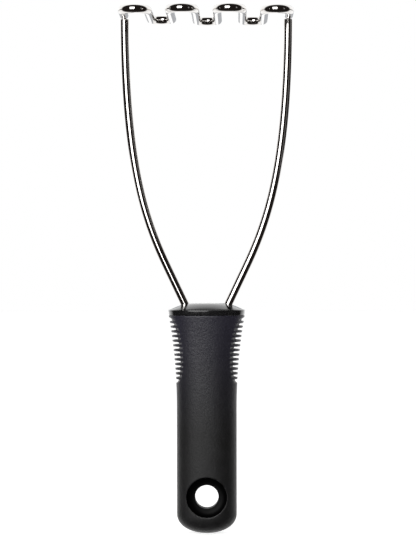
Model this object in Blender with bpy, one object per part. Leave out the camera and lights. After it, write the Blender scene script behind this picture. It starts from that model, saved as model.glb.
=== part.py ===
"""Wavy-wire potato masher: a serpentine wire head on two bowed rods in a soft grip.

Metres, +Z from the grip's butt up to the head, +X to the right, the front faces -Y.
The origin is on the grip's axis, level with the lowest point of the butt.
"""
import math

import bmesh
import bpy
from mathutils import Vector

GAP = 0.0003                    # clearance kept between two separate pieces

# masher wire, bent flat in the plane z = WIRE_Z
WIRE_RADIUS = 0.00225
WIRE_Z = 0.2666
BEND_PITCH = 0.024              # from one front bend to the next, and the same at the back
FRONT_BEND_RADIUS = 0.0064
BACK_BEND_RADIUS = BEND_PITCH / 2 - FRONT_BEND_RADIUS
FRONT_BENDS = 4
HEAD_REACH_Y = 0.0395           # the bends lie on an ellipse in plan
HEAD_REACH_X = 0.062
WIRE_END_Y = 0.0032             # the two free ends stop just behind the arms
WIRE_SIDES = 14
BEND_STEPS = 10
WIRE_EDGE = 0.0007              # chamfer at the free ends

# arms
ARM_RADIUS = 0.00222
ARM_TOP = Vector((0.0421, 0.0, WIRE_Z - WIRE_RADIUS - GAP))
ARM_BOW_UPPER = Vector((0.04152, 0.0, 0.1922))    # handles of the bow's Bezier curve
ARM_BOW_LOWER = Vector((0.03281, 0.0, 0.1632))
ARM_BOW_END = Vector((0.02046, 0.0, 0.1372))
ARM_LEG_X = 0.0053              # the buried legs run side by side
ARM_LEG_END = 0.058
ARM_LEG_BEND = 0.010
ARM_SIDES = 14
ARM_EDGE = 0.0004              # chamfer at both ends

# soft grip
GRIP_TOP = 0.1120
GRIP_HALF_WIDTH = 0.0154
GRIP_HALF_DEPTH = 0.0122
GRIP_FLARE_START = 0.064
GRIP_FLARE_WIDTH = 0.0042       # extra half width and half depth reached at the top
GRIP_FLARE_DEPTH = 0.0030
BUTT_HEIGHT = 0.0100
BUTT_ROUNDNESS = 2.15
BUTT_FLAT_Z = 0.00004           # the butt's lowest stretch is flattened from this height
SECTION_ROUNDNESS = 2.2         # 2 would be a true ellipse
GRIP_COLUMNS = 40

# finger pockets with their fins
FINS = 13
FIN_PITCH = 0.0024
FIN_THICKNESS = 0.00122
FIN_TOP_Z = 0.1085
POCKET_MIDDLE = 0.0941
POCKET_HALF_LENGTH = 0.0168
POCKET_DEPTH = 0.0031
POCKET_ROUNDNESS = 2.4
POCKET_FLOOR_RADIUS = 0.028

# hang hole
HOLE_Z = 0.0188
HOLE_RIM_RADIUS = 0.0105
HOLE_THROAT_RADIUS = 0.0062
HOLE_THROAT_HALF = 0.0050
HOLE_BOWL_TOP = 0.0090
HOLE_SIDES = 36

# rigid core
CORE_HALF_WIDTH = 0.0106
CORE_HALF_DEPTH = 0.0084
CORE_TOP = 0.1084
PADDLE_HALF_THICKNESS = 0.0022
PADDLE_RADIUS = 0.0124
PADDLE_EYE_RADIUS = 0.0096
NECK_LOW = 0.026
NECK_HIGH = 0.042

# collar cap
COLLAR_BOTTOM = 0.1123
COLLAR_RIM_TOP = 0.1150
COLLAR_TOP = 0.1182
COLLAR_HALF_WIDTH = 0.01975
COLLAR_HALF_DEPTH = 0.0154
COLLAR_FLAT = 0.50              # share of the width that the dome's flat top takes
COLLAR_EDGE = 0.0004
PLUG_HALF_WIDTH = 0.0120
PLUG_HALF_DEPTH = 0.0096
PLUG_BOTTOM = 0.1090
SOCKET_FLARE = 0.0006


def clear_scene():
    for old in list(bpy.data.objects):
        bpy.data.objects.remove(old, do_unlink=True)


def material(name, colour, roughness, metallic=0.0, coat=0.0):
    made = bpy.data.materials.new(name)
    made.use_nodes = True
    shader = made.node_tree.nodes["Principled BSDF"]
    shader.inputs["Base Color"].default_value = (*colour, 1.0)
    shader.inputs["Roughness"].default_value = roughness
    shader.inputs["Metallic"].default_value = metallic
    shader.inputs["Coat Weight"].default_value = coat
    made.diffuse_color = (*colour, 1.0)
    return made


def loft(name, rings, skin=None):
    """Close a stack of rings, all with the same number of points, into one solid."""
    mesh = bpy.data.meshes.new(name)
    form = bmesh.new()
    rows = [[form.verts.new(point) for point in ring] for ring in rings]
    for low, high in zip(rows, rows[1:]):
        for i in range(len(low)):
            j = (i + 1) % len(low)
            form.faces.new((low[i], low[j], high[j], high[i]))
    form.faces.new(list(reversed(rows[0])))
    form.faces.new(rows[-1])
    bmesh.ops.remove_doubles(form, verts=form.verts, dist=1e-6)
    bmesh.ops.recalc_face_normals(form, faces=form.faces)
    form.to_mesh(mesh)
    form.free()
    mesh.shade_smooth()
    mesh.set_sharp_from_angle(angle=math.radians(35))
    made = bpy.data.objects.new(name, mesh)
    bpy.context.scene.collection.objects.link(made)
    if skin:
        mesh.materials.append(skin)
    return made


def sweep_rings(path, radius, sides, across, edge=0.0):
    """Round rings along a flat path; across is the normal of the path's plane."""
    rings = []
    for i, point in enumerate(path):
        before = path[max(i - 1, 0)]
        after = path[min(i + 1, len(path) - 1)]
        along = (after - before).normalized()
        side = along.cross(across).normalized()
        rings.append((point, side, along))
    first, last = rings[0], rings[-1]
    stations = [(p, s, radius) for p, s, _ in rings]
    if edge:
        stations[0] = (first[0] + first[2] * edge, first[1], radius)
        stations[-1] = (last[0] - last[2] * edge, last[1], radius)
        stations.insert(0, (first[0], first[1], radius - edge))
        stations.append((last[0], last[1], radius - edge))
    turns = [2 * math.pi * k / sides for k in range(sides)]
    return [[p + s * (r * math.cos(t)) + across * (r * math.sin(t)) for t in turns]
            for p, s, r in stations]


def cutter(made):
    made.hide_render = True
    made.display_type = "WIRE"
    return made


def boolean(target, tool, operation="DIFFERENCE"):
    step = target.modifiers.new(operation.title(), "BOOLEAN")
    step.operation = operation
    step.solver = "EXACT"
    step.object = cutter(tool)


def oval(half_width, half_depth, z, columns=GRIP_COLUMNS, roundness=SECTION_ROUNDNESS):
    """One horizontal ring, a superellipse."""
    ring = []
    for k in range(columns):
        t = 2 * math.pi * (k + 0.5) / columns
        x = math.copysign(abs(math.cos(t)) ** (2 / roundness), math.cos(t))
        y = math.copysign(abs(math.sin(t)) ** (2 / roundness), math.sin(t))
        ring.append(Vector((half_width * x, half_depth * y, z)))
    return ring


# ---- masher wire ----------------------------------------------------------------------

def head_outline(x):
    """How far the wire's centre line reaches in Y at a bend centred on x."""
    return HEAD_REACH_Y * math.sqrt(1 - (x / HEAD_REACH_X) ** 2)


def wire_path():
    """Centre line from the left free end, over every bend, to the right free end."""
    shift = (head_outline(BEND_PITCH / 2) - HEAD_REACH_Y) / 2    # centres the head on y = 0
    bends = []
    start = -BEND_PITCH * (FRONT_BENDS - 1) / 2
    for i in range(FRONT_BENDS):
        x = start + BEND_PITCH * i
        bends.append((x, FRONT_BEND_RADIUS, -1))
        if i < FRONT_BENDS - 1:
            bends.append((x + BEND_PITCH / 2, BACK_BEND_RADIUS, 1))
    outermost = start - FRONT_BEND_RADIUS
    path = [Vector((outermost, WIRE_END_Y, WIRE_Z))]
    for x, radius, way in bends:
        middle = way * (head_outline(x) - radius) + shift
        for k in range(BEND_STEPS + 1):
            t = math.pi * k / BEND_STEPS
            reach = way * radius * math.sin(t)
            path.append(Vector((x - radius * math.cos(t), middle + reach, WIRE_Z)))
    path.append(Vector((-outermost, WIRE_END_Y, WIRE_Z)))
    return path


def masher_wire(skin):
    rings = sweep_rings(wire_path(), WIRE_RADIUS, WIRE_SIDES, Vector((0, 0, 1)), edge=WIRE_EDGE)
    return loft("masher_wire", rings, skin)


# ---- arms -----------------------------------------------------------------------------

def arm_path(side, extra=0.0):
    """Centre line of one arm from the head down to its buried end; side is -1 or 1."""
    points = []
    steps = 16
    for k in range(steps + 1):
        t = k / steps
        points.append((1 - t) ** 3 * ARM_TOP + 3 * (1 - t) ** 2 * t * ARM_BOW_UPPER
                      + 3 * (1 - t) * t ** 2 * ARM_BOW_LOWER + t ** 3 * ARM_BOW_END)
    slope = (ARM_BOW_END - ARM_BOW_LOWER).normalized()
    lean = math.atan2(-slope.x, -slope.z)
    corner = ARM_BOW_END + slope * ((ARM_BOW_END.x - ARM_LEG_X) / -slope.x)
    run_in = ARM_LEG_BEND * math.tan(lean / 2)
    begin = corner - slope * run_in
    centre = Vector((ARM_LEG_X + ARM_LEG_BEND, 0, corner.z - run_in))
    points.append(begin)
    bend_steps = 4
    for k in range(1, bend_steps + 1):
        t = lean * (1 - k / bend_steps)
        points.append(centre + ARM_LEG_BEND * Vector((-math.cos(t), 0, math.sin(t))))
    points.append(Vector((ARM_LEG_X, 0, ARM_LEG_END - extra)))
    return [Vector((side * p.x, p.y, p.z)) for p in points]


def arm(name, side, skin):
    rings = sweep_rings(arm_path(side), ARM_RADIUS, ARM_SIDES, Vector((0, 1, 0)), edge=ARM_EDGE)
    return loft(name, rings, skin)


def arm_channel(name, side):
    """Cutter that clears one arm where it passes through another piece."""
    rings = sweep_rings(arm_path(side, extra=GAP), ARM_RADIUS + GAP, ARM_SIDES, Vector((0, 1, 0)))
    return loft(name, rings)


def socket_flare(name, side):
    """Cone that opens the channel's mouth on top of the collar."""
    slope = (ARM_BOW_END - ARM_BOW_LOWER).normalized()
    top = ARM_BOW_END + slope * ((COLLAR_TOP + 0.0015 - ARM_BOW_END.z) / slope.z)
    low = ARM_BOW_END + slope * ((COLLAR_TOP - 0.0034 - ARM_BOW_END.z) / slope.z)
    ends = [Vector((side * p.x, p.y, p.z)) for p in (top, low)]
    wide = sweep_rings(ends, ARM_RADIUS + GAP + SOCKET_FLARE, ARM_SIDES, Vector((0, 1, 0)))
    slim = sweep_rings(ends, ARM_RADIUS + GAP + 0.00005, ARM_SIDES, Vector((0, 1, 0)))
    return loft(name, [wide[0], slim[1]])


# ---- rigid core -----------------------------------------------------------------------

def core_solid(name, skin=None, grow=0.0, top_rings=()):
    """Column with a flat paddle at its foot; grow enlarges it into the grip's cavity."""
    width = CORE_HALF_WIDTH + grow
    thin = PADDLE_HALF_THICKNESS + grow
    deep = CORE_HALF_DEPTH + grow
    rings = [oval(width * 0.9, thin, NECK_LOW - grow)]
    steps = 5
    for k in range(steps + 1):
        t = k / steps
        ease = t * t * (3 - 2 * t)
        z = NECK_LOW + 0.002 + (NECK_HIGH - NECK_LOW - 0.002) * t
        rings.append(oval(width, thin + (deep - thin) * ease, z))
    rings.append(oval(width, deep, CORE_TOP + grow))
    rings.extend(top_rings)
    column = loft(name, rings, skin)
    disc = disc_along_y(name + "_paddle", PADDLE_RADIUS + grow, thin - 0.00005)
    boolean(column, disc, "UNION")
    eye = disc_along_y(name + "_eye", PADDLE_EYE_RADIUS - grow, 0.02)
    boolean(column, eye)
    return column


def disc_along_y(name, radius, half_length, sides=HOLE_SIDES):
    ends = [Vector((0, -half_length, HOLE_Z)), Vector((0, half_length, HOLE_Z))]
    return loft(name, sweep_rings(ends, radius, sides, Vector((0, 0, 1))))


def handle_core(skin):
    core = core_solid("handle_core", skin)
    for side, label in ((-1, "left"), (1, "right")):
        boolean(core, arm_channel("core_channel_" + label, side))
    return core


# ---- soft grip ------------------------------------------------------------------------

def grip_size(z):
    """Half width and half depth of the grip's outer surface at height z."""
    flare = max(0.0, (z - GRIP_FLARE_START) / (GRIP_TOP - GRIP_FLARE_START)) ** 2
    width = GRIP_HALF_WIDTH + GRIP_FLARE_WIDTH * flare
    depth = GRIP_HALF_DEPTH + GRIP_FLARE_DEPTH * flare
    if z < BUTT_HEIGHT:
        drop = (BUTT_HEIGHT - z) / BUTT_HEIGHT
        shrink = max(0.0, 1 - drop ** BUTT_ROUNDNESS) ** (1 / BUTT_ROUNDNESS)
        width *= shrink
        depth *= shrink ** 0.8
    return width, depth


def pocket_depth(z):
    offset = abs(z - POCKET_MIDDLE) / POCKET_HALF_LENGTH
    if offset >= 1:
        return 0.0
    return POCKET_DEPTH * (1 - offset ** POCKET_ROUNDNESS) ** (1 / POCKET_ROUNDNESS)


def grip_ring(z, pocket=False):
    width, depth = grip_size(z)
    ring = oval(width, depth, z)
    if pocket:
        floor = width - pocket_depth(z)
        for point in ring:
            limit = floor - point.y ** 2 / (2 * POCKET_FLOOR_RADIUS)
            if abs(point.x) > limit:
                point.x = math.copysign(limit, point.x)
    return ring


def grip_rings():
    rings = [[Vector((p.x, p.y, 0.0)) for p in grip_ring(BUTT_FLAT_Z)]]
    butt_steps = 7
    for k in range(1, butt_steps + 1):
        turn = math.pi / 2 * k / butt_steps
        rings.append(grip_ring(BUTT_HEIGHT * (1 - math.cos(turn))))
    for z in (0.030, 0.052, GRIP_FLARE_START):
        rings.append(grip_ring(z))
    rings.append(grip_ring(POCKET_MIDDLE - POCKET_HALF_LENGTH))
    bottom_fin = FIN_TOP_Z - (FINS - 1) * FIN_PITCH
    rings.append(grip_ring(bottom_fin - FIN_THICKNESS / 2 - 0.0008, pocket=True))
    for i in range(FINS):
        middle = bottom_fin + FIN_PITCH * i
        low = middle - FIN_THICKNESS / 2
        high = middle + FIN_THICKNESS / 2
        rings.append(grip_ring(low, pocket=True))
        rings.append(grip_ring(low))
        rings.append(grip_ring(high))
        rings.append(grip_ring(high, pocket=True))
    rings.append(grip_ring(FIN_TOP_Z + FIN_THICKNESS / 2 + 0.0008, pocket=True))
    rings.append(grip_ring(POCKET_MIDDLE + POCKET_HALF_LENGTH))
    rings.append(grip_ring(GRIP_TOP))
    return rings


def hole_cutter(name):
    """Hourglass along Y: a round-bottomed bowl at the front and at the back."""
    half = []
    steps = 6
    for k in range(steps + 1):
        turn = math.pi / 2 * k / steps
        rise = HOLE_RIM_RADIUS - HOLE_THROAT_RADIUS
        length = HOLE_BOWL_TOP - HOLE_THROAT_HALF
        half.append((HOLE_THROAT_RADIUS + rise * math.sin(turn),
                     HOLE_BOWL_TOP - length * math.cos(turn)))
    half.append((HOLE_RIM_RADIUS, 0.020))
    stations = [(r, -y) for r, y in reversed(half)] + half
    rings = []
    for radius, y in stations:
        turns = [2 * math.pi * k / HOLE_SIDES for k in range(HOLE_SIDES)]
        rings.append([Vector((radius * math.cos(t), y, HOLE_Z + radius * math.sin(t)))
                      for t in turns])
    return loft(name, rings)


def soft_grip(skin):
    grip = loft("soft_grip", grip_rings(), skin)
    plug = (PLUG_HALF_WIDTH + GAP, PLUG_HALF_DEPTH + GAP)
    mouth = [oval(*plug, CORE_TOP + GAP + 0.0002), oval(*plug, GRIP_TOP + 0.002)]
    boolean(grip, core_solid("grip_cavity", grow=GAP, top_rings=mouth))
    boolean(grip, hole_cutter("hang_hole_cutter"))
    return grip


# ---- collar cap -----------------------------------------------------------------------

def collar_cap(skin):
    wide, deep = COLLAR_HALF_WIDTH, COLLAR_HALF_DEPTH
    rings = [oval(PLUG_HALF_WIDTH, PLUG_HALF_DEPTH, PLUG_BOTTOM),
             oval(PLUG_HALF_WIDTH, PLUG_HALF_DEPTH, COLLAR_BOTTOM),
             oval(wide - COLLAR_EDGE, deep - COLLAR_EDGE, COLLAR_BOTTOM),
             oval(wide, deep, COLLAR_BOTTOM + COLLAR_EDGE),
             oval(wide, deep, COLLAR_RIM_TOP - COLLAR_EDGE),
             oval(wide - COLLAR_EDGE * 0.6, deep - COLLAR_EDGE * 0.6, COLLAR_RIM_TOP)]
    steps = 6
    for k in range(1, steps + 1):
        t = k / steps
        share = 0.97 - (0.97 - COLLAR_FLAT) * t
        z = COLLAR_RIM_TOP + (COLLAR_TOP - COLLAR_RIM_TOP) * (1 - (1 - t) ** 1.7)
        rings.append(oval(wide * share, deep * share, z))
    cap = loft("collar_cap", rings, skin)
    for side, label in ((-1, "left"), (1, "right")):
        boolean(cap, arm_channel("cap_channel_" + label, side))
        boolean(cap, socket_flare("cap_socket_" + label, side))
    return cap


def main():
    clear_scene()
    steel = material("polished_steel", (0.62, 0.61, 0.59), 0.12, metallic=1.0)
    masher_wire(steel)
    arm("left_arm", -1, steel.copy())
    arm("right_arm", 1, steel.copy())
    collar_cap(material("gloss_black", (0.012, 0.012, 0.013), 0.10, coat=0.4))
    handle_core(material("core_plastic", (0.03, 0.03, 0.032), 0.5))
    soft_grip(material("soft_rubber", (0.022, 0.022, 0.025), 0.62))


if __name__ == "__main__":
    main()
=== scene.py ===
"""Potato masher with a serpentine wire head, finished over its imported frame.

Metres, in the frame's axes: +Z from the grip's butt up to the wire head, the front faces -Y.
"""
import math

import bmesh
import bpy
from bpy.props import FloatProperty, FloatVectorProperty, IntProperty, PointerProperty
from bpy.types import Operator, Panel, PropertyGroup
from mathutils import Matrix, Vector


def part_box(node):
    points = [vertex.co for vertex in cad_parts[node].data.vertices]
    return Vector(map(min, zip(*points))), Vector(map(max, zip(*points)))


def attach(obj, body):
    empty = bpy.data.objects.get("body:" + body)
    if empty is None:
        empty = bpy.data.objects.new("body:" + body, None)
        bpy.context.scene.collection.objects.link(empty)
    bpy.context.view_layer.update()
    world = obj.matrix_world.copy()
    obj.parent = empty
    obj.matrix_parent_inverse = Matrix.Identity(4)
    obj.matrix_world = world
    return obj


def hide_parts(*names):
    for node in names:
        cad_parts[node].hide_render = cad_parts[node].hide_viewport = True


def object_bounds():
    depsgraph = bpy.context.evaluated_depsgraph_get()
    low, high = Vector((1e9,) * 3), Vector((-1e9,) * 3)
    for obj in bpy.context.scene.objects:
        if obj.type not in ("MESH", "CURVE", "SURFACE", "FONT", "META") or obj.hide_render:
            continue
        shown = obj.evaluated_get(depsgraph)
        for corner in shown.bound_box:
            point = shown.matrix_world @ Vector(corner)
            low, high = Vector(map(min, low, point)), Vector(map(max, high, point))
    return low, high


bl_info = {
    "name": "Potato masher",
    "version": (1, 0, 0),
    "blender": (4, 5, 0),
    "location": "View3D > Sidebar > Masher",
    "description": "Builds a wire potato masher with a soft ribbed grip, and its studio",
    "category": "Object",
}

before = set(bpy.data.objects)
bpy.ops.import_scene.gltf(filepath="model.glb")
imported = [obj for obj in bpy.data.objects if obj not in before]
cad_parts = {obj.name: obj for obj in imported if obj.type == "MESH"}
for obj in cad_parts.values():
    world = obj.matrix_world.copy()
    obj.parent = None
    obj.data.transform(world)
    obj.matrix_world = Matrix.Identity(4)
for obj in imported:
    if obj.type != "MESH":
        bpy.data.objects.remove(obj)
CAD_LOW, CAD_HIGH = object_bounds()
WIRE_LOW, WIRE_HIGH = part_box("masher_wire")
ARM_LOW, ARM_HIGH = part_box("right_arm")
COLLAR_LOW, COLLAR_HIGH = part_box("collar_cap")
GRIP_LOW, GRIP_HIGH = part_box("soft_grip")

WIRE_RADIUS = (WIRE_HIGH.z - WIRE_LOW.z) / 2
WIRE_Z = (WIRE_HIGH.z + WIRE_LOW.z) / 2
ARM_RADIUS = (ARM_HIGH.y - ARM_LOW.y) / 2

ROD_SIDES = 40
SECTION_ROUNDNESS = 2.2         # of the grip and the collar seen from above; 2 would be an ellipse
SECTION_COLUMNS = 160
BUTT_ROUNDNESS = 2.15
FLARE_POWER = 2.0               # the grip widens slowly at first, then faster


# ---- sizes and colours ------------------------------------------------------------------

def length(name, default, description):
    return FloatProperty(name=name, description=description, default=default, unit="LENGTH", precision=5)


def place(name, default, description):
    return FloatVectorProperty(name=name, description=description, default=default, size=3,
                               subtype="XYZ", unit="LENGTH", precision=5)


def colour(name, default, description):
    return FloatVectorProperty(name=name, description=description, default=default, size=3,
                               subtype="COLOR", min=0.0, max=1.0)


class MasherSteelSizes(PropertyGroup):
    """The wire head and the two arms."""
    front_bend: length("Front bend radius", 0.0064, "Centre line radius of the front bends")
    bend_pitch: length("Bend pitch", 0.024, "Distance between two neighbouring front bends")
    reach_y: length("Head reach in Y", 0.0395, "Half depth of the ellipse that the bends lie on")
    reach_x: length("Head reach in X", 0.062, "Half width of the ellipse that the bends lie on")
    front_stretch: FloatProperty(name="Front stretch", description="Front bend's depth over its width",
                                 default=1.6)
    back_stretch: FloatProperty(name="Back stretch", description="Back bend's depth over its width",
                                default=1.05)
    front_bends: IntProperty(name="Front bends", description="Number of bends at the front", default=4)
    bow_upper: place("Upper bow handle", (0.04152, 0.0, 0.1922), "Shapes the upper bow of an arm")
    bow_lower: place("Lower bow handle", (0.03281, 0.0, 0.1632), "Shapes the lower bow of an arm")
    bow_end: place("Bow end", (0.02046, 0.0, 0.1372), "Where an arm turns straight")
    leg_bend: length("Leg bend radius", 0.010, "Bend between an arm's straight run and its buried leg")


class MasherGripSizes(PropertyGroup):
    """The soft grip with its finger pockets and hang hole."""
    half_width: length("Half width", 0.0154, "Half width of the straight part")
    half_depth: length("Half depth", 0.0122, "Half depth of the straight part")
    flare_start: length("Flare start", 0.064, "Height where the grip starts to widen")
    flare_width: length("Flare width", 0.0042, "Extra half width at the top")
    flare_depth: length("Flare depth", 0.0030, "Extra half depth at the top")
    butt_height: length("Butt height", 0.0100, "Height of the rounded butt")
    fins: IntProperty(name="Fins", description="Fins in each finger pocket", default=13)
    fin_pitch: length("Fin pitch", 0.0024, "Distance between two fins")
    fin_top: length("Top fin", 0.1085, "Height of the highest fin")
    fin_crest: length("Fin crest", 0.00045, "Half thickness of a fin's rounded tip")
    fin_root: length("Fin root", 0.00082, "Half thickness of a fin's root")
    pocket_middle: length("Pocket middle", 0.0941, "Height of the pocket's centre")
    pocket_half: length("Pocket half length", 0.0168, "Half length of the pocket")
    pocket_depth: length("Pocket depth", 0.0031, "Depth of the pocket's floor")
    floor_radius: length("Floor radius", 0.028, "Radius of the pocket's floor seen from above")
    hole_z: length("Hole height", 0.0188, "Height of the hang hole's centre")
    hole_rim: length("Hole rim radius", 0.0105, "Radius of the bowl around the hang hole")
    hole_throat: length("Hole throat radius", 0.00605, "Radius of the hang hole's throat")


class MasherColours(PropertyGroup):
    """Colours of the finishes."""
    steel: colour("Steel", (0.70, 0.68, 0.66), "Polished stainless steel")
    rubber: colour("Rubber", (0.0030, 0.0030, 0.0034), "Soft grip")
    gloss: colour("Collar", (0.006, 0.006, 0.0065), "Glossy collar")
    core: colour("Core", (0.030, 0.030, 0.032), "Moulded core")


class MasherStageSettings(PropertyGroup):
    """Camera and studio."""
    distance: length("Camera distance", 1.35, "From the camera to the masher's axis")
    camera_z: length("Camera height", 0.139, "Height of the camera")
    aim_z: length("Aim height", 0.1363, "Height at the centre of the view")
    aim_x: length("Aim sideways", 0.0007, "Sideways place of the centre of the view")
    azimuth: FloatProperty(name="Azimuth", description="Turn of the camera round the masher",
                           default=math.radians(0.63), subtype="ANGLE")
    roll: FloatProperty(name="Roll", description="Roll of the camera", default=math.radians(-0.06),
                        subtype="ANGLE")
    view_height: length("View height", 0.27604, "Height of the view at the masher's axis")


# ---- node expressions -------------------------------------------------------------------

class Value:
    """A node socket that takes part in arithmetic; each operation adds its Math node."""

    def __init__(self, graph, socket):
        self.graph = graph
        self.socket = socket

    def math(self, operation, *values):
        return self.graph.node("ShaderNodeMath", {"operation": operation}, values)

    def __add__(self, other):
        return self.math("ADD", self, other)

    def __radd__(self, other):
        return self.math("ADD", other, self)

    def __sub__(self, other):
        return self.math("SUBTRACT", self, other)

    def __rsub__(self, other):
        return self.math("SUBTRACT", other, self)

    def __mul__(self, other):
        return self.math("MULTIPLY", self, other)

    def __rmul__(self, other):
        return self.math("MULTIPLY", other, self)

    def __truediv__(self, other):
        return self.math("DIVIDE", self, other)

    def __rtruediv__(self, other):
        return self.math("DIVIDE", other, self)

    def __pow__(self, other):
        return self.math("POWER", self, other)

    def __abs__(self):
        return self.math("ABSOLUTE", self)

    def least(self, other):
        return self.math("MINIMUM", self, other)

    def most(self, other):
        return self.math("MAXIMUM", self, other)

    def rounded(self):
        return self.math("ROUND", self)

    def sign(self):
        return self.math("SIGN", self)

    def soft_least(self, other, blend):
        return self.math("SMOOTH_MIN", self, other, blend)

    def ease(self, low, high):
        """0 below low, 1 above high, smooth between."""
        return self.graph.node("ShaderNodeMapRange", {"interpolation_type": "SMOOTHSTEP"},
                               (self, low, high, 0.0, 1.0))


class Graph:
    """Adds nodes to one tree."""

    def __init__(self, tree):
        self.tree = tree

    def node(self, kind, settings=None, values=(), out=0):
        """Makes a node: its settings first, then its sockets by order or by name."""
        made = self.tree.nodes.new(kind)
        for name, setting in (settings or {}).items():
            setattr(made, name, setting)
        pairs = values.items() if isinstance(values, dict) else enumerate(values)
        for key, value in pairs:
            if isinstance(value, Value):
                self.tree.links.new(value.socket, made.inputs[key])
            elif value is not None:
                made.inputs[key].default_value = value
        if not made.outputs:
            return made
        return Value(self, made.outputs[out])

    def split(self, vector):
        """X, Y and Z of a vector."""
        first = self.node("ShaderNodeSeparateXYZ", None, (vector,))
        outputs = first.socket.node.outputs
        return first, Value(self, outputs[1]), Value(self, outputs[2])

    def join(self, x, y, z):
        return self.node("ShaderNodeCombineXYZ", None, (x, y, z))

    def scale(self, vector, factors):
        return self.node("ShaderNodeVectorMath", {"operation": "MULTIPLY"}, (vector, factors))

    def noise(self, vector, scale, detail=3.0, roughness=0.5):
        values = {"Vector": vector, "Scale": scale, "Detail": detail, "Roughness": roughness}
        return self.node("ShaderNodeTexNoise", None, values)

    def mix(self, factor, first, second):
        """Mixes two colours."""
        return self.node("ShaderNodeMix", {"data_type": "RGBA"}, {0: factor, 6: first, 7: second}, out=2)


# ---- geometry trees ---------------------------------------------------------------------

def geometry_tree(name, inputs):
    """An empty tree with named inputs; returns its graph and a reader of those inputs."""
    tree = bpy.data.node_groups.new(name, "GeometryNodeTree")
    tree.interface.new_socket("Geometry", in_out="INPUT", socket_type="NodeSocketGeometry")
    for label, kind in inputs.items():
        tree.interface.new_socket(label, in_out="INPUT", socket_type="NodeSocket" + kind)
    tree.interface.new_socket("Geometry", in_out="OUTPUT", socket_type="NodeSocketGeometry")
    graph = Graph(tree)
    source = tree.nodes.new("NodeGroupInput")

    def read(label):
        return Value(graph, source.outputs[label])

    return graph, read


def finish_tree(graph, shape, finish):
    """Ends a tree in plain geometry that wears one material."""
    real = graph.node("GeometryNodeRealizeInstances", None, (shape,))
    dressed = graph.node("GeometryNodeSetMaterial", None, {"Geometry": real, "Material": finish})
    graph.node("NodeGroupOutput", None, (dressed,))
    return graph.tree


def store(graph, shape, name, kind, value):
    """Keeps a value on the points of a shape under a name."""
    return graph.node("GeometryNodeStoreNamedAttribute", {"data_type": kind, "domain": "POINT"},
                      {"Geometry": shape, "Name": name, "Value": value})


def stored(graph, name, kind):
    """Reads a value that was kept under a name."""
    return graph.node("GeometryNodeInputNamedAttribute", {"data_type": kind}, {"Name": name})


def sweep_tree():
    """Sweeps a round section along an edge path; the point attribute girth thins the ends.

    The rod's points keep an attribute called draw: the place round the section and along the rod.
    """
    graph, read = geometry_tree("Rod sweep", {"Radius": "Float", "Sides": "Int", "Material": "Material"})
    path = graph.node("GeometryNodeMeshToCurve", None, (read("Geometry"),))
    along = graph.node("GeometryNodeSplineParameter", None, (), out="Length")
    path = store(graph, path, "along", "FLOAT", along)
    ring = graph.node("GeometryNodeCurvePrimitiveCircle", None,
                      {"Resolution": read("Sides"), "Radius": read("Radius")})
    spot = graph.node("GeometryNodeInputPosition")
    size = graph.join(read("Radius"), read("Radius"), 1.0)
    lap = graph.node("ShaderNodeVectorMath", {"operation": "DIVIDE"}, (spot, size))
    ring = store(graph, ring, "lap", "FLOAT_VECTOR", lap)
    rod = graph.node("GeometryNodeCurveToMesh", None,
                     {"Curve": path, "Profile Curve": ring, "Scale": stored(graph, "girth", "FLOAT"),
                      "Fill Caps": True})
    across, up, _ = graph.split(stored(graph, "lap", "FLOAT_VECTOR"))
    run = stored(graph, "along", "FLOAT")
    rod = store(graph, rod, "draw", "FLOAT_VECTOR", graph.join(across, up, run))
    for name in ("lap", "along", "girth"):
        rod = graph.node("GeometryNodeRemoveAttribute", None, {"Geometry": rod, "Name": name})
    return finish_tree(graph, rod, read("Material"))


def rod_tree():
    """The rod sweep, shared by the wire and the arms."""
    return bpy.data.node_groups.get("Rod sweep") or sweep_tree()


POCKET_ROUNDNESS = 2.1          # 2 would make the pocket's outline an ellipse
POCKET_EDGE = 0.00025           # widest softening of the pocket's edge
POCKET_EDGE_SHARE = 0.3         # softening over depth where the pocket is shallow


def pocket_tree():
    """Presses a finned finger pocket into each side of the grip."""
    lengths = ("Fin Pitch", "Top Fin", "Fin Crest", "Fin Root", "Pocket Middle", "Pocket Half Length",
               "Pocket Depth", "Floor Radius", "Half Width", "Flare Width", "Flare Start", "Flare End")
    inputs = {label: "Float" for label in lengths}
    graph, read = geometry_tree("Finger pockets", {"Fins": "Int", **inputs, "Material": "Material"})
    x, y, z = graph.split(graph.node("GeometryNodeInputPosition"))
    offset = (abs(z - read("Pocket Middle")) / read("Pocket Half Length")).least(1.0)
    depth = read("Pocket Depth") * (1 - offset ** POCKET_ROUNDNESS) ** (1 / POCKET_ROUNDNESS)
    rise = (z - read("Flare Start")).most(0.0) / (read("Flare End") - read("Flare Start"))
    width = read("Half Width") + read("Flare Width") * rise ** FLARE_POWER
    floor = width - depth - y * y / (2 * read("Floor Radius"))
    nearest = ((read("Top Fin") - z) / read("Fin Pitch")).rounded().most(0.0).least(read("Fins") - 1)
    gap = abs(z - (read("Top Fin") - nearest * read("Fin Pitch")))
    fin = 1 - gap.ease(read("Fin Crest"), read("Fin Root"))
    outer = abs(x)
    pressed = outer.soft_least(floor, (depth * POCKET_EDGE_SHARE).least(POCKET_EDGE))
    carved = x.sign() * (pressed + (outer - pressed) * fin)
    shape = graph.node("GeometryNodeSetPosition", None,
                       {"Geometry": read("Geometry"), "Position": graph.join(carved, y, z)})
    return finish_tree(graph, shape, read("Material"))


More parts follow.
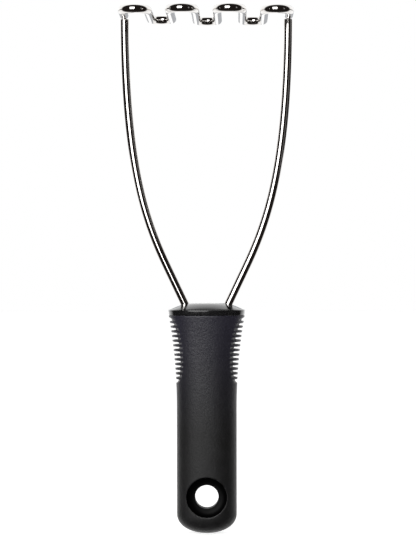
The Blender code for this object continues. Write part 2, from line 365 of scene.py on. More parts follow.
def run_tree(target, tree, values):
    """Runs a tree on an object and leaves its result there as a plain mesh."""
    step = target.modifiers.new(tree.name, "NODES")
    step.node_group = tree
    for item in tree.interface.items_tree:
        if item.item_type == "SOCKET" and item.in_out == "INPUT" and item.name in values:
            step[item.identifier] = values[item.name]
    bpy.context.view_layer.update()
    graph = bpy.context.evaluated_depsgraph_get()
    source = target.evaluated_get(graph)
    mesh = bpy.data.meshes.new_from_object(source, preserve_all_data_layers=True, depsgraph=graph)
    target.modifiers.remove(step)
    target.data = mesh
    return target


# ---- mesh helpers -----------------------------------------------------------------------

def add_object(name, mesh):
    made = bpy.data.objects.new(name, mesh)
    bpy.context.scene.collection.objects.link(made)
    return made


def smooth(target, angle=35):
    """Smooth shading that stays crisp at real edges."""
    target.data.shade_smooth()
    target.data.set_sharp_from_angle(angle=math.radians(angle))


def bridge_rings(form, rings):
    """Skins a stack of rings with quads; returns the rows of vertices."""
    rows = [[form.verts.new(point) for point in ring] for ring in rings]
    for low, high in zip(rows, rows[1:]):
        for i in range(len(low)):
            j = (i + 1) % len(low)
            form.faces.new((low[i], low[j], high[j], high[i]))
    return rows


def close_with_pole(form, row, flip=False):
    """Closes a ring with a fan of triangles round its middle."""
    middle = form.verts.new(sum((v.co for v in row), Vector()) / len(row))
    for i in range(len(row)):
        j = (i + 1) % len(row)
        corners = (row[j], row[i], middle) if flip else (row[i], row[j], middle)
        form.faces.new(corners)


def oval(half_width, half_depth, z):
    """One horizontal superellipse."""
    ring = []
    power = 2 / SECTION_ROUNDNESS
    for k in range(SECTION_COLUMNS):
        turn = 2 * math.pi * (k + 0.5) / SECTION_COLUMNS
        x = math.copysign(abs(math.cos(turn)) ** power, math.cos(turn))
        y = math.copysign(abs(math.sin(turn)) ** power, math.sin(turn))
        ring.append(Vector((half_width * x, half_depth * y, z)))
    return ring


def quarter_turns(steps, first=1):
    """Angles along a rounded edge, in equal steps up to a quarter turn."""
    return [math.pi / 2 * k / steps for k in range(first, steps + 1)]


def finish_piece(target, nodes):
    """Hands a finished piece to the frame."""
    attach(target, "root")
    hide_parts(*nodes)


# ---- finishes ---------------------------------------------------------------------------

def new_material(name, constants):
    """A Principled material; constants are set on the shader's own sockets."""
    made = bpy.data.materials.new(name)
    made.use_nodes = True
    graph = Graph(made.node_tree)
    shader = made.node_tree.nodes["Principled BSDF"]
    for label, value in constants.items():
        shader.inputs[label].default_value = value

    def feed(label, value):
        made.node_tree.links.new(value.socket, shader.inputs[label])

    return made, graph, feed


def shade(tint, share=1.0):
    """A colour with alpha, lighter or darker than the tint by a share."""
    return (*[share * c for c in tint], 1.0)


def grey(level):
    return (level, level, level, 1.0)


def object_point(graph):
    return graph.node("ShaderNodeTexCoord", None, (), out="Object")


def bump(graph, height, distance, strength):
    values = {"Strength": strength, "Distance": distance, "Height": height}
    return graph.node("ShaderNodeBump", None, values)


def polished_steel(tint):
    """Drawn and polished stainless rod: faint lines along it, small pits and hazy patches."""
    made, graph, feed = new_material("drawn_steel", {"Metallic": 1.0})
    draw = graph.node("ShaderNodeAttribute", {"attribute_name": "draw"}, (), out="Vector")
    point = object_point(graph)
    lines = graph.noise(graph.scale(draw, (7.0, 7.0, 14.0)), 3.0, 4.0, 0.6)
    haze = graph.noise(point, 160.0, 3.0)
    pits = graph.noise(point, 2600.0, 2.0)
    wear = haze.ease(0.45, 0.75)
    feed("Base Color", graph.mix(wear, shade(tint), shade(tint, 0.93)))
    feed("Roughness", 0.07 + 0.04 * wear + 0.05 * lines.ease(0.45, 0.8))
    height = lines * 0.6 + pits * 0.12
    feed("Normal", bump(graph, height, 0.0000025, 0.25))
    return made


def steel_finish(scene):
    """The polished steel, shared by the wire and the arms."""
    return bpy.data.materials.get("drawn_steel") or polished_steel(scene.masher_colours.steel)


def soft_rubber(tint):
    """Moulded soft rubber: fine grain, cloudy tone, dust in the grain, and a lighter bluish top that is
    painted light.
    """
    made, graph, feed = new_material("grained_rubber", {"Specular IOR Level": 0.6, "Sheen Weight": 0.22,
                                                        "Sheen Roughness": 0.35})
    point = object_point(graph)
    grain = graph.noise(point, 2400.0, 3.0, 0.6)
    cloud = graph.noise(point, 210.0, 4.0, 0.6)
    fleck = graph.noise(point, 900.0, 2.0, 0.5)
    dust = (0.045, 0.045, 0.048, 1.0)
    painted_light_blue = (0.020, 0.018, 0.034, 1.0)
    tone = graph.mix(cloud.ease(0.3, 0.7), shade(tint, 0.35), shade(tint))
    tone = graph.mix(fleck.ease(0.60, 0.8) * 0.25, tone, dust)
    _, _, z = graph.split(point)
    # Painted light: the grip is painted lighter and bluer towards its top, where light falls on the
    # flare; the top is also made less rough.
    painted_top_light = z.ease(0.045, 0.115)
    feed("Base Color", graph.mix(painted_top_light * 0.58, tone, painted_light_blue))
    feed("Roughness", 0.48 - 0.18 * painted_top_light + 0.10 * cloud + 0.10 * fleck)
    feed("Normal", bump(graph, grain * 0.7 + fleck * 0.7 + cloud * 0.8, 0.00030, 0.6))
    return made


def shaded_bowl_rubber(tint):
    """Smooth wall of the hang hole, painted darker than the grip as painted shade in the hollow, with
    faint moulding rings and dust.
    """
    made, graph, feed = new_material("bowl_painted_shade", {"Specular IOR Level": 0.1})
    point = object_point(graph)
    rings = graph.noise(graph.scale(point, (300.0, 2600.0, 300.0)), 1.0, 2.0)
    dust = graph.noise(point, 1500.0, 2.0)
    # Painted shade: the wall is painted at a fifth of the grip's colour, back up to the grip's colour
    # where dust lies.
    feed("Base Color", graph.mix(dust.ease(0.6, 0.85), shade(tint, 0.2), shade(tint)))
    feed("Roughness", 0.42 + 0.10 * dust)
    feed("Normal", bump(graph, rings, 0.00006, 0.3))
    return made


def gloss_plastic(tint):
    """High-gloss moulded plastic: faint flow marks, fingerprints and fine scratches."""
    made, graph, feed = new_material("gloss_collar", {"Specular IOR Level": 0.5, "Coat Weight": 0.8,
                                                      "Coat Roughness": 0.05})
    point = object_point(graph)
    flow = graph.noise(point, 90.0, 2.0)
    prints = graph.noise(point, 420.0, 4.0, 0.6)
    hair = graph.noise(graph.scale(point, (900.0, 160.0, 900.0)), 3.0, 2.0)
    feed("Base Color", graph.mix(prints.ease(0.5, 0.8), shade(tint), shade(tint, 1.6)))
    feed("Roughness", 0.20 + 0.08 * prints.ease(0.45, 0.75) + 0.03 * hair.ease(0.6, 0.8))
    feed("Normal", bump(graph, flow + hair * 0.02, 0.00005, 0.25))
    return made


def core_plastic(tint):
    """Plain moulded core: spark-eroded texture with faint sink marks."""
    made, graph, feed = new_material("moulded_core", {})
    point = object_point(graph)
    grain = graph.noise(point, 1800.0, 3.0)
    sink = graph.noise(point, 120.0, 2.0)
    feed("Base Color", graph.mix(sink.ease(0.3, 0.7), shade(tint, 0.8), shade(tint)))
    feed("Roughness", 0.48 + 0.12 * grain)
    feed("Normal", bump(graph, grain, 0.00008, 0.4))
    return made


# ---- steel ------------------------------------------------------------------------------

def path_object(name, points, girths):
    """An edge path whose point attribute girth scales the rod's section."""
    mesh = bpy.data.meshes.new(name)
    edges = [(i, i + 1) for i in range(len(points) - 1)]
    mesh.from_pydata([tuple(p) for p in points], edges, [])
    layer = mesh.attributes.new("girth", "FLOAT", "POINT")
    layer.data.foreach_set("value", girths)
    return add_object(name, mesh)


def round_first_end(points, girths, radius, edge):
    """Adds closely spaced points with falling girth, so the rod starts with a rounded edge."""
    steps = 4
    start = points[0]
    along = (points[1] - start).normalized()
    head, thin = [], []
    for k in range(steps):
        turn = math.pi / 2 * k / steps
        head.append(start + along * (edge * (1 - math.cos(turn))))
        thin.append(1 - edge / radius * (1 - math.sin(turn)))
    return head + [start + along * edge] + points[1:], thin + [1.0] + girths[1:]


def round_both_ends(points, radius, edge):
    """Rounds a rod's first end, turns the rod round, and does the same again."""
    girths = [1.0] * len(points)
    for _ in range(2):
        points, girths = round_first_end(points, girths, radius, edge)
        points, girths = points[::-1], girths[::-1]
    return points, girths


def head_outline(sizes, x):
    """How far the wire's centre line reaches in Y at a bend centred on x."""
    return sizes.reach_y * math.sqrt(1 - (x / sizes.reach_x) ** 2)


def wire_end_y():
    """Y of the wire's free ends, read from the frame's own wire."""
    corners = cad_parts["masher_wire"].data.vertices
    return max(v.co.y for v in corners if v.co.x > WIRE_HIGH.x - WIRE_RADIUS)


# Hand-bent rod: how far each bend sits above the head's level, front and back bends in turn.
BEND_LIFTS = (0.0002, 0.0007, 0.0, 0.0003, 0.0, 0.0001, 0.0)
WIRE_END_EDGE = 0.0009          # radius of the rounded edge at the wire's free ends


def wire_path(sizes):
    """The serpentine centre line, from the left free end to the right one."""
    bend_steps = 28
    run_steps = 14
    back_bend = sizes.bend_pitch / 2 - sizes.front_bend
    start = -sizes.bend_pitch * (sizes.front_bends - 1) / 2
    outermost = WIRE_LOW.x + WIRE_RADIUS
    shift = (head_outline(sizes, sizes.bend_pitch / 2) - sizes.reach_y) / 2
    free_end = wire_end_y()
    bends = []
    for i in range(sizes.front_bends):
        x = start + sizes.bend_pitch * i
        bends.append((x, sizes.front_bend, sizes.front_bend * sizes.front_stretch, -1))
        if i < sizes.front_bends - 1:
            bends.append((x + sizes.bend_pitch / 2, back_bend, back_bend * sizes.back_stretch, 1))
    path = [Vector((outermost, free_end, WIRE_Z))]
    for i, (x, radius, depth, way) in enumerate(bends):
        z = WIRE_Z + BEND_LIFTS[i % len(BEND_LIFTS)]
        middle = way * (head_outline(sizes, x) - depth) + shift
        first = Vector((x - radius, middle, z))
        last = path[-1]
        path += [last.lerp(first, k / run_steps) for k in range(1, run_steps)]
        for k in range(bend_steps + 1):
            turn = math.pi * k / bend_steps
            path.append(Vector((x - radius * math.cos(turn), middle + way * depth * math.sin(turn), z)))
    last = path[-1]
    end = Vector((-outermost, free_end, WIRE_Z))
    path += [last.lerp(end, k / run_steps) for k in range(1, run_steps + 1)]
    return path


def arm_path(sizes, side):
    """Centre line of one arm: its bow, its straight run, a bend, and its leg down to the buried end."""
    bow_steps = 72
    straight_steps = 12
    bend_steps = 10
    leg_steps = 10
    leg_x = ARM_LOW.x + ARM_RADIUS
    top = Vector((ARM_HIGH.x - ARM_RADIUS, 0, ARM_HIGH.z))
    upper, lower, end = Vector(sizes.bow_upper), Vector(sizes.bow_lower), Vector(sizes.bow_end)
    points = []
    for k in range(bow_steps + 1):
        t = k / bow_steps
        points.append((1 - t) ** 3 * top + 3 * (1 - t) ** 2 * t * upper
                      + 3 * (1 - t) * t ** 2 * lower + t ** 3 * end)
    slope = (end - lower).normalized()
    lean = math.atan2(-slope.x, -slope.z)
    corner = end + slope * ((end.x - leg_x) / -slope.x)
    run_in = sizes.leg_bend * math.tan(lean / 2)
    begin = corner - slope * run_in
    centre = Vector((leg_x + sizes.leg_bend, 0, corner.z - run_in))
    points += [end.lerp(begin, k / straight_steps) for k in range(1, straight_steps + 1)]
    for k in range(1, bend_steps + 1):
        turn = lean * (1 - k / bend_steps)
        points.append(centre + sizes.leg_bend * Vector((-math.cos(turn), 0, math.sin(turn))))
    foot = Vector((leg_x, 0, ARM_LOW.z))
    last = points[-1]
    points += [last.lerp(foot, k / leg_steps) for k in range(1, leg_steps + 1)]
    return [Vector((side * p.x, p.y, p.z)) for p in points]


# Weld neck at an arm's top: height from the wire's underside, and the girth there over the arm's.
WELD_NECK = ((0.0009, 0.44), (0.0001, 0.50), (0.0, 0.80), (-0.00006, 0.95), (-0.00012, 0.99),
             (-0.0002, 1.0), (-0.00028, 1.0), (-0.00046, 1.0))
WELD_GAP = 0.0006               # free stretch between the neck and the arm's next point


def weld_top(points):
    """Brings an arm's top up into the wire through its weld neck."""
    contact = WIRE_Z - WIRE_RADIUS
    top = points[0]
    head = [Vector((top.x, top.y, contact + height)) for height, _ in WELD_NECK]
    rest = [p for p in points if p.z < head[-1].z - WELD_GAP]
    return head + rest, [girth for _, girth in WELD_NECK] + [1.0] * len(rest)


def build_wire(sizes, finish, tree):
    points, girths = round_both_ends(wire_path(sizes), WIRE_RADIUS, WIRE_END_EDGE)
    wire = path_object("serpentine_wire", points, girths)
    run_tree(wire, tree, {"Radius": WIRE_RADIUS, "Sides": ROD_SIDES, "Material": finish})
    smooth(wire)
    finish_piece(wire, ["masher_wire"])


def build_arm(sizes, name, node, side, finish, tree):
    points, girths = weld_top(arm_path(sizes, side))
    arm = path_object(name, points, girths)
    run_tree(arm, tree, {"Radius": ARM_RADIUS, "Sides": ROD_SIDES, "Material": finish})
    smooth(arm)
    finish_piece(arm, [node])


# ---- soft grip --------------------------------------------------------------------------

POCKET_MARGIN_LOW = 0.0006      # the close rows start this far under the pockets
POCKET_MARGIN_HIGH = 0.0002
POCKET_ROW = 0.00012            # height of one close row
TOP_EDGE = 0.0004               # rounded edge round the grip's top
BUTT_DEPTH_POWER = 0.8          # the butt is blunter in depth than in width

# Hollow that takes the collar's plug and the core: half width, half depth, and height.
HOLLOW = (
    (0.0123, 0.0099, GRIP_HIGH.z),
    (0.0123, 0.0099, GRIP_HIGH.z - 0.0034),
    (0.0109, 0.0087, GRIP_HIGH.z - 0.0034),
    (0.0109, 0.0087, 0.0417),
    (0.0109, 0.0025, 0.0257),
)

# Passage of the hang hole, seen in section.
MOUTH_FILLET = 0.0003           # rounded edge where the bowl meets the grip's face
THROAT_LIP = 0.0004             # rounded edge at the throat
BOWL_TOP = 0.0086               # the bowl's wall turns inwards this far from the mid-plane
THROAT_HALF = 0.0050            # half length of the throat, its lips included
HOLE_SPOKES = 128
EVEN_RING = 0.0011              # width of the ring of even faces laid round the bowl
CLEARED_RING = 0.0017           # the grip's own faces are cleared this far round the bowl
CORE_REACH = 0.004              # faces nearer the mid-plane belong to the hollow
ROUNDING_SLACK = 0.00005        # keeps the mouth's own edge out of the bowl's finish


def grip_size(sizes, z):
    """Half width and half depth of the grip's outer surface at height z."""
    flare = max(0.0, (z - sizes.flare_start) / (GRIP_HIGH.z - sizes.flare_start)) ** FLARE_POWER
    width = sizes.half_width + sizes.flare_width * flare
    depth = sizes.half_depth + sizes.flare_depth * flare
    if z < sizes.butt_height:
        drop = (sizes.butt_height - z) / sizes.butt_height
        shrink = max(0.0, 1 - drop ** BUTT_ROUNDNESS) ** (1 / BUTT_ROUNDNESS)
        width *= shrink
        depth *= shrink ** BUTT_DEPTH_POWER
    return width, depth


def grip_heights(sizes):
    """Row heights: close together in the butt and the pockets, wider apart elsewhere."""
    butt_rows = 22
    plain_rows = 66
    butt = sizes.butt_height
    heights = [butt * (1 - math.cos(math.pi / 2 * k / butt_rows)) for k in range(2, butt_rows)]
    pocket_low = sizes.pocket_middle - sizes.pocket_half - POCKET_MARGIN_LOW
    pocket_high = sizes.pocket_middle + sizes.pocket_half + POCKET_MARGIN_HIGH
    heights += [butt + (pocket_low - butt) * k / plain_rows for k in range(plain_rows)]
    close_rows = round((pocket_high - pocket_low) / POCKET_ROW)
    heights += [pocket_low + (pocket_high - pocket_low) * k / close_rows for k in range(close_rows + 1)]
    return heights


def grip_rings(sizes):
    """Outer surface from the butt up, the rounded top edge, then the hollow downwards."""
    rings = [oval(*grip_size(sizes, z), z) for z in grip_heights(sizes)]
    edge_z = GRIP_HIGH.z - TOP_EDGE
    width, depth = grip_size(sizes, edge_z)
    for turn in quarter_turns(6):
        inset = TOP_EDGE * (1 - math.cos(turn))
        rings.append(oval(width - inset, depth - inset, edge_z + TOP_EDGE * math.sin(turn)))
    return rings + [oval(*station) for station in HOLLOW]


def surface_depth(sizes, x, z):
    """Depth of the outer surface, from the mid-plane, at a place seen from the front."""
    width, depth = grip_size(sizes, z)
    share = min(1.0, abs(x) / width)
    return depth * (1 - share ** SECTION_ROUNDNESS) ** (1 / SECTION_ROUNDNESS)


def hole_station(sizes, kind, t, cos, sin):
    """Radius and depth of the passage at one station, on the spoke that points to (cos, sin)."""
    rim = sizes.hole_rim
    throat = sizes.hole_throat
    mouth = rim + MOUTH_FILLET
    if kind == "face":
        return t, surface_depth(sizes, t * cos, sizes.hole_z + t * sin)
    start = surface_depth(sizes, mouth * cos, sizes.hole_z + mouth * sin)
    if kind == "fillet":
        return rim + MOUTH_FILLET * (1 - math.sin(t)), start - MOUTH_FILLET * (1 - math.cos(t))
    if kind == "wall":
        below = start - MOUTH_FILLET
        return rim, below + (BOWL_TOP - below) * t
    if kind == "bowl":
        radius = throat + THROAT_LIP + (rim - throat - THROAT_LIP) * math.cos(t)
        return radius, THROAT_HALF + (BOWL_TOP - THROAT_HALF) * (1 - math.sin(t))
    return throat + THROAT_LIP * (1 - math.sin(t)), THROAT_HALF - THROAT_LIP * (1 - math.cos(t))


def hole_rings(sizes):
    """Rings of the passage, from the front face through the throat to the back face."""
    join = sizes.hole_rim + EVEN_RING
    mouth = sizes.hole_rim + MOUTH_FILLET
    thirds = (1, 2, 3)
    stations = [("face", join)]
    stations += [("face", join + (mouth - join) * k / 3) for k in thirds]
    stations += [("fillet", turn) for turn in quarter_turns(6)]
    stations += [("wall", k / 3) for k in thirds]
    stations += [("bowl", turn) for turn in quarter_turns(14)]
    stations += [("lip", turn) for turn in quarter_turns(5)]
    rings = []
    for kind, t in stations:
        ring = []
        for k in range(HOLE_SPOKES):
            turn = 2 * math.pi * k / HOLE_SPOKES
            cos, sin = math.cos(turn), math.sin(turn)
            radius, y = hole_station(sizes, kind, t, cos, sin)
            ring.append(Vector((radius * cos, -y, sizes.hole_z + radius * sin)))
        rings.append(ring)
    back = [[Vector((p.x, -p.y, p.z)) for p in ring] for ring in reversed(rings)]
    return rings + back


def cut_hole(form, sizes):
    """Opens the grip's front and back round the hang hole and joins them with a bowl-shaped passage."""
    clear = sizes.hole_rim + CLEARED_RING
    doomed = []
    for face in form.faces:
        inner = all(math.hypot(v.co.x, v.co.z - sizes.hole_z) < clear for v in face.verts)
        on_skin = all(abs(v.co.y) > CORE_REACH for v in face.verts)
        if inner and on_skin:
            doomed.append(face)
    rims = {-1: set(), 1: set()}
    marked = set(doomed)
    for face in doomed:
        for side_edge in face.edges:
            if any(other not in marked for other in side_edge.link_faces):
                rims[1 if side_edge.verts[0].co.y > 0 else -1].add(side_edge)
    bmesh.ops.delete(form, geom=doomed, context="FACES")
    rows = bridge_rings(form, hole_rings(sizes))
    form.edges.ensure_lookup_table()
    for side, row in ((-1, rows[0]), (1, rows[-1])):
        loop = [form.edges.get((row[i], row[(i + 1) % HOLE_SPOKES])) for i in range(HOLE_SPOKES)]
        bmesh.ops.bridge_loops(form, edges=loop + list(rims[side]))


def build_grip(sizes, finish, bowl_shade_finish, tree):
    """The sleeve with its hollow and hang hole; the finger pockets are pressed in last."""
    mesh = bpy.data.meshes.new("ribbed_soft_grip")
    form = bmesh.new()
    rows = bridge_rings(form, grip_rings(sizes))
    close_with_pole(form, rows[0], flip=True)
    close_with_pole(form, rows[-1])
    cut_hole(form, sizes)
    bmesh.ops.triangulate(form, faces=[f for f in form.faces if len(f.verts) > 4])
    bmesh.ops.recalc_face_normals(form, faces=form.faces)
    form.to_mesh(mesh)
    form.free()
    grip = add_object("ribbed_soft_grip", mesh)
    values = {"Fins": sizes.fins, "Fin Pitch": sizes.fin_pitch, "Top Fin": sizes.fin_top,
              "Fin Crest": sizes.fin_crest, "Fin Root": sizes.fin_root,
              "Pocket Middle": sizes.pocket_middle, "Pocket Half Length": sizes.pocket_half,
              "Pocket Depth": sizes.pocket_depth, "Floor Radius": sizes.floor_radius,
              "Half Width": sizes.half_width, "Flare Width": sizes.flare_width,
              "Flare Start": sizes.flare_start, "Flare End": GRIP_HIGH.z, "Material": finish}
    run_tree(grip, tree, values)
    # The faces inside the bowl take the second slot, whose finish is painted shade.
    grip.data.materials.append(bowl_shade_finish)
    inside = sizes.hole_rim - ROUNDING_SLACK
    for face in grip.data.polygons:
        if math.hypot(face.center.x, face.center.z - sizes.hole_z) < inside:
            face.material_index = 1
    smooth(grip, 50)
    finish_piece(grip, ["soft_grip"])


# ---- collar -----------------------------------------------------------------------------

PLUG = (0.0120, 0.0096)         # half width and half depth of the plug
RIM_HEIGHT = 0.0029
RIM_LIFT = 0.0001               # gap between the grip and the rim band
RIM_DRAFT = 0.0002              # the rim's lower edge stands back this far
RIM_LOW_EDGE = 0.0002           # rounded edge under the rim
RIM_SHOULDER = 0.0007           # rounded edge above the rim
SHOULDER_START = math.radians(-7)
SHOULDER_SWEEP = math.radians(97)
SEAM_WIDTH = 0.0003             # fine groove between the rim band and the dome
SEAM_DEPTH = 0.00015
DOME_FLAT = 0.44                # share of the width that the dome's flat top takes
DOME_POWER = 1.6                # the dome rises fast at the rim, then levels off
SOCKET_GAP = 0.00035            # room between an arm and its socket
SOCKET_SIDES = 48
CUTTER_BELOW = 0.004            # how far a socket's cutter runs past the collar
CUTTER_ABOVE = 0.006


def collar_rings():
    """Plug, underside, rim band with rounded edges, and the dome with its flat top."""
    wide, deep, top = COLLAR_HIGH
    bottom = GRIP_HIGH.z + RIM_LIFT
    rim_top = bottom + RIM_HEIGHT
    rings = [oval(*PLUG, COLLAR_LOW.z), oval(*PLUG, bottom)]
    for turn in quarter_turns(4, first=0):
        inset = RIM_DRAFT + RIM_LOW_EDGE * (1 - math.sin(turn))
        rings.append(oval(wide - inset, deep - inset, bottom + RIM_LOW_EDGE * (1 - math.cos(turn))))
    shoulder_steps = 10
    for k in range(shoulder_steps + 1):
        turn = SHOULDER_START + SHOULDER_SWEEP * k / shoulder_steps
        inset = RIM_SHOULDER * (1 - math.cos(turn))
        height = rim_top - RIM_SHOULDER + RIM_SHOULDER * math.sin(turn)
        rings.append(oval(wide - inset, deep - inset, height))
    seat = 1 - (RIM_SHOULDER + SEAM_WIDTH) / wide
    rings.append(oval(wide * seat, deep * seat, rim_top - SEAM_DEPTH))
    dome_steps = 30
    for k in range(1, dome_steps + 1):
        t = k / dome_steps
        share = seat - (seat - DOME_FLAT) * t
        height = rim_top + (top - rim_top) * (1 - (1 - t) ** DOME_POWER)
        rings.append(oval(wide * share, deep * share, height))
    rings.append(oval(wide * DOME_FLAT * 0.5, deep * DOME_FLAT * 0.5, top))
    return rings


def socket_cutter(sizes, side):
    """Round bar along an arm, a little wider than it, that passes right through the collar."""
    low = COLLAR_LOW.z - CUTTER_BELOW
    high = COLLAR_HIGH.z + CUTTER_ABOVE
    points = [p for p in arm_path(sizes, side) if low < p.z < high]
    radius = ARM_RADIUS + SOCKET_GAP
    form = bmesh.new()
    rings = []
    for i, point in enumerate(points):
        before = points[max(i - 1, 0)]
        after = points[min(i + 1, len(points) - 1)]
        along = (after - before).normalized()
        across = along.cross(Vector((0, 1, 0))).normalized()
        ring = []
        for k in range(SOCKET_SIDES):
            turn = 2 * math.pi * k / SOCKET_SIDES
            deep = Vector((0, radius * math.sin(turn), 0))
            ring.append(point + across * (radius * math.cos(turn)) + deep)
        rings.append(ring)
    rows = bridge_rings(form, rings)
    form.faces.new(list(reversed(rows[0])))
    form.faces.new(rows[-1])
    bmesh.ops.recalc_face_normals(form, faces=form.faces)
    mesh = bpy.data.meshes.new("socket_cutter")
    form.to_mesh(mesh)
    form.free()
    return add_object("socket_cutter", mesh)


def build_collar(sizes, finish):
    """The domed cap, with a socket cut for each arm."""
    form = bmesh.new()
    rows = bridge_rings(form, collar_rings())
    close_with_pole(form, rows[0], flip=True)
    close_with_pole(form, rows[-1])
    bmesh.ops.recalc_face_normals(form, faces=form.faces)
    mesh = bpy.data.meshes.new("domed_collar")
    form.to_mesh(mesh)
    form.free()
    collar = add_object("domed_collar", mesh)
    cutters = [socket_cutter(sizes, side) for side in (-1, 1)]
    for cutter in cutters:
        step = collar.modifiers.new("Socket", "BOOLEAN")
        step.operation = "DIFFERENCE"
        step.solver = "EXACT"
        step.object = cutter
    bpy.context.view_layer.update()
    graph = bpy.context.evaluated_depsgraph_get()
    collar.data = bpy.data.meshes.new_from_object(collar.evaluated_get(graph), depsgraph=graph)
    collar.modifiers.clear()
    for cutter in cutters:
        bpy.data.objects.remove(cutter)
    collar.data.materials.clear()
    collar.data.materials.append(finish)
    smooth(collar, 30)
    finish_piece(collar, ["collar_cap"])


# ---- studio -----------------------------------------------------------------------------

def build_world():
    """White to the camera; the masher itself sees a dark room in front and a bright one behind."""
    world = bpy.data.worlds.new("Studio")
    bpy.context.scene.world = world
    world.use_nodes = True
    world.node_tree.nodes.clear()
    graph = Graph(world.node_tree)
    way = graph.node("ShaderNodeTexCoord", None, (), out="Generated")
    side, back, up = graph.split(way)
    warm_black = (0.016, 0.013, 0.012, 1.0)
    cool_grey = (0.46, 0.47, 0.49, 1.0)
    # The bright back starts further round at eye level, so upright rods keep dark edges.
    level = 1 - abs(up).ease(0.03, 0.10)
    room = graph.mix((back - 0.39 * level).ease(0.32, 0.58), warm_black, grey(1.25))
    # A dim band along the far horizon, and two grey panels beside the middle of the back.
    horizon = (1 - abs(up - 0.03).ease(0.006, 0.022)) * back.ease(0.8, 0.95)
    room = graph.mix(horizon, room, grey(0.35))
    flanks = abs(side + 0.03).ease(0.03, 0.065) * (1 - abs(side).ease(0.12, 0.2)) * back.ease(0.9, 0.96)
    room = graph.mix(flanks, room, cool_grey)
    seen = graph.node("ShaderNodeLightPath", None, (), out="Is Camera Ray")
    backdrop = graph.mix(seen, room, grey(1.0))
    glow = graph.node("ShaderNodeBackground", None, {"Color": backdrop, "Strength": 1.0})
    graph.node("ShaderNodeOutputWorld", None, {"Surface": glow})


def build_floor():
    """A wide pale floor, level with the butt."""
    mesh = bpy.data.meshes.new("pale_floor")
    reach = 6.0
    mesh.from_pydata([(-reach, -reach, 0), (reach, -reach, 0), (reach, reach, 0), (-reach, reach, 0)],
                     [], [(0, 1, 2, 3)])
    floor = add_object("pale_floor", mesh)
    finish, _, _ = new_material("pale_floor", {"Base Color": grey(0.9), "Roughness": 0.9,
                                               "Emission Color": grey(1.0), "Emission Strength": 0.75})
    mesh.materials.append(finish)
    floor.visible_glossy = False


# Softboxes: name, azimuth and elevation in degrees, distance, width, height, and radiance.
SOFTBOXES = (
    ("front_softbox", -20.0, 18.0, 1.7, 1.25, 1.5, 4.3),
    ("right_softbox", 64.0, 8.0, 1.7, 0.26, 0.8, 0.35),
)


def add_softbox(name, azimuth, elevation, distance, width, height, radiance):
    """A rectangular light aimed at the middle of the masher; azimuth 0 is in front."""
    data = bpy.data.lights.new(name, "AREA")
    data.shape = "RECTANGLE"
    data.size = width
    data.size_y = height
    data.energy = radiance * math.pi * width * height
    light = bpy.data.objects.new(name, data)
    bpy.context.scene.collection.objects.link(light)
    turn, lift = math.radians(azimuth), math.radians(elevation)
    flat = math.cos(lift)
    away = Vector((math.sin(turn) * flat, -math.cos(turn) * flat, math.sin(lift)))
    aim = Vector((0, 0, CAD_HIGH.z / 2))
    light.location = aim + away * distance
    light.rotation_euler = (-away).to_track_quat("-Z", "Y").to_euler()
    light.visible_camera = False


def build_camera(settings):
    """Long lens, level, nearly square to the masher's front."""
    data = bpy.data.cameras.new("Studio camera")
    camera = bpy.data.objects.new("Studio camera", data)
    bpy.context.scene.collection.objects.link(camera)
    turn = settings.azimuth
    spot = Vector((math.sin(turn), -math.cos(turn), 0)) * settings.distance
    right = Vector((math.cos(turn), math.sin(turn), 0))
    aim = right * settings.aim_x + Vector((0, 0, settings.aim_z))
    camera.location = spot + right * settings.aim_x + Vector((0, 0, settings.camera_z))
    facing = (aim - camera.location).to_track_quat("-Z", "Y").to_matrix().to_4x4()
    camera.rotation_euler = (facing @ Matrix.Rotation(settings.roll, 4, "Z")).to_euler()
    data.sensor_fit = "AUTO"
    data.lens = data.sensor_width * settings.distance / settings.view_height
    data.clip_start = 0.05
    data.clip_end = 50.0
    bpy.context.scene.camera = camera


# ---- operators --------------------------------------------------------------------------

class MASHER_OT_wire_head(Operator):
    """Bend the serpentine wire of the masher's head"""
    bl_idname = "masher.wire_head"
    bl_label = "Wire head"

    def execute(self, context):
        scene = context.scene
        build_wire(scene.masher_steel, steel_finish(scene), rod_tree())
        return {"FINISHED"}


class MASHER_OT_arms(Operator):
    """Bow the two arms and weld them to the head"""
    bl_idname = "masher.arms"
    bl_label = "Arms"

    def execute(self, context):
        scene = context.scene
        finish = steel_finish(scene)
        build_arm(scene.masher_steel, "bowed_arm_left", "left_arm", -1, finish, rod_tree())
        build_arm(scene.masher_steel, "bowed_arm_right", "right_arm", 1, finish, rod_tree())
        return {"FINISHED"}


class MASHER_OT_soft_grip(Operator):
    """Mould the soft grip with its finned finger pockets and hang hole"""
    bl_idname = "masher.soft_grip"
    bl_label = "Soft grip"

    def execute(self, context):
        scene = context.scene
        rubber = scene.masher_colours.rubber
        build_grip(scene.masher_grip, soft_rubber(rubber), shaded_bowl_rubber(rubber), pocket_tree())
        return {"FINISHED"}


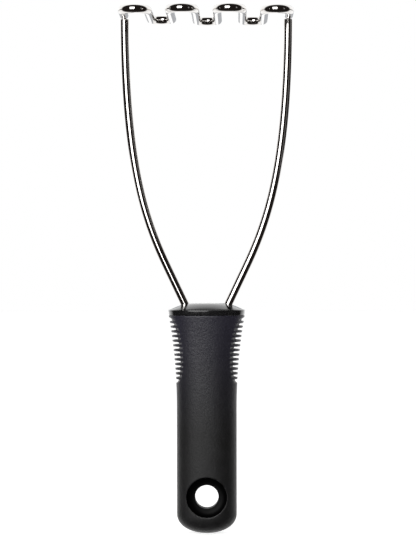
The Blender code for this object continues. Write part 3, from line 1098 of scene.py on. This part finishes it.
class MASHER_OT_collar(Operator):
    """Mould the glossy collar with its two sockets"""
    bl_idname = "masher.collar"
    bl_label = "Collar"

    def execute(self, context):
        scene = context.scene
        build_collar(scene.masher_steel, gloss_plastic(scene.masher_colours.gloss))
        return {"FINISHED"}


class MASHER_OT_core(Operator):
    """Finish the moulded core inside the grip"""
    bl_idname = "masher.core"
    bl_label = "Core"

    def execute(self, context):
        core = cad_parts["handle_core"]
        core.data.materials.clear()
        core.data.materials.append(core_plastic(context.scene.masher_colours.core))
        return {"FINISHED"}


class MASHER_OT_stage(Operator):
    """Set the floor, the surroundings, the lights and the camera"""
    bl_idname = "masher.stage"
    bl_label = "Stage"

    def execute(self, context):
        build_world()
        build_floor()
        for softbox in SOFTBOXES:
            add_softbox(*softbox)
        build_camera(context.scene.masher_stage)
        context.scene.view_settings.view_transform = "Standard"
        return {"FINISHED"}


class MASHER_PT_panel(Panel):
    """Lists the masher's pieces and their sizes"""
    bl_idname = "MASHER_PT_panel"
    bl_label = "Potato masher"
    bl_space_type = "VIEW_3D"
    bl_region_type = "UI"
    bl_category = "Masher"

    def draw(self, context):
        for step in STEPS:
            self.layout.operator(step.bl_idname)
        for attribute in SETTINGS:
            group = getattr(context.scene, attribute)
            box = self.layout.box()
            for name in group.__annotations__:
                box.prop(group, name)


STEPS = (MASHER_OT_wire_head, MASHER_OT_arms, MASHER_OT_soft_grip, MASHER_OT_collar, MASHER_OT_core,
         MASHER_OT_stage)
SETTINGS = {"masher_steel": MasherSteelSizes, "masher_grip": MasherGripSizes,
            "masher_colours": MasherColours, "masher_stage": MasherStageSettings}
CLASSES = (*SETTINGS.values(), *STEPS, MASHER_PT_panel)


def register():
    for kind in CLASSES:
        bpy.utils.register_class(kind)
    for attribute, group in SETTINGS.items():
        setattr(bpy.types.Scene, attribute, PointerProperty(type=group))


def unregister():
    for attribute in SETTINGS:
        delattr(bpy.types.Scene, attribute)
    for kind in reversed(CLASSES):
        bpy.utils.unregister_class(kind)


def main():
    register()
    bpy.ops.masher.wire_head()
    bpy.ops.masher.arms()
    bpy.ops.masher.soft_grip()
    bpy.ops.masher.collar()
    bpy.ops.masher.core()
    bpy.ops.masher.stage()


if __name__ == "__main__":
    main()
